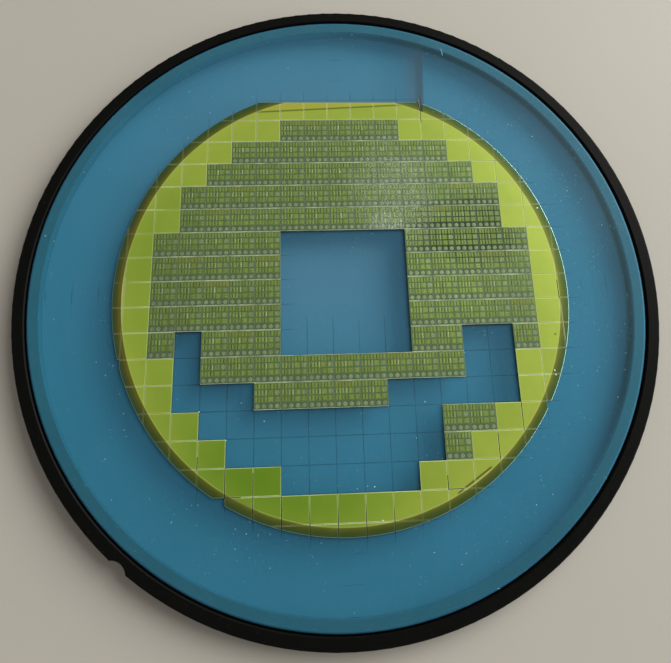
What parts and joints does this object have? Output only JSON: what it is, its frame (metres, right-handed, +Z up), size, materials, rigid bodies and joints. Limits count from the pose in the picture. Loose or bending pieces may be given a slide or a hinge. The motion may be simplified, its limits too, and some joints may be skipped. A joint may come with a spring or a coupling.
{
  "type": "diced silicon wafer on a grip ring",
  "caption": "Thin round wafer with a flat, sawn into separate square dies on stretched blue tape, which is clamped between concentric plastic rings.",
  "frame": {"origin": "centre of the grip rings on their underside", "axes": "+Z up, away from the underside and out of the wafer's face; +Y towards the wafer's flat; +X to the right of the flat seen from above"},
  "size_m": [0.2126, 0.2126, 0.0067],
  "materials": {
    "black_ring": "satin moulded",
    "natural_ring": "satin moulded",
    "blue_tape": "soft translucent film",
    "circuit_silicon": "passivated, patterned",
    "blank_silicon": "thin-film lime, satin"
  },
  "bodies": {
    "root": {"outer_ring": "black_ring", "inner_ring": "natural_ring", "dicing_tape": "blue_tape", "blank_dies_row_01": "blank_silicon", "blank_dies_row_02": "blank_silicon", "blank_dies_row_03": "blank_silicon", "blank_dies_row_04": "blank_silicon", "blank_dies_row_05": "blank_silicon", "blank_dies_row_06": "blank_silicon", "blank_dies_row_07": "blank_silicon", "blank_dies_row_08": "blank_silicon", "blank_dies_row_09": "blank_silicon", "blank_dies_row_10": "blank_silicon", "blank_dies_row_11": "blank_silicon", "blank_dies_row_12": "blank_silicon", "blank_dies_row_13": "blank_silicon", "blank_dies_row_14": "blank_silicon", "blank_dies_row_15": "blank_silicon", "blank_dies_row_16": "blank_silicon", "blank_dies_row_17": "blank_silicon", "blank_dies_row_18": "blank_silicon", "circuit_dies_row_02": "circuit_silicon", "circuit_dies_row_03": "circuit_silicon", "circuit_dies_row_04": "circuit_silicon", "circuit_dies_row_05": "circuit_silicon", "circuit_dies_row_06": "circuit_silicon", "circuit_dies_row_07": "circuit_silicon", "circuit_dies_row_08": "circuit_silicon", "circuit_dies_row_09": "circuit_silicon", "circuit_dies_row_10": "circuit_silicon", "circuit_dies_row_11": "circuit_silicon", "circuit_dies_row_12": "circuit_silicon", "circuit_dies_row_13": "circuit_silicon", "circuit_dies_row_14": "circuit_silicon", "circuit_dies_row_15": "circuit_silicon"}
  },
  "joints": []
}
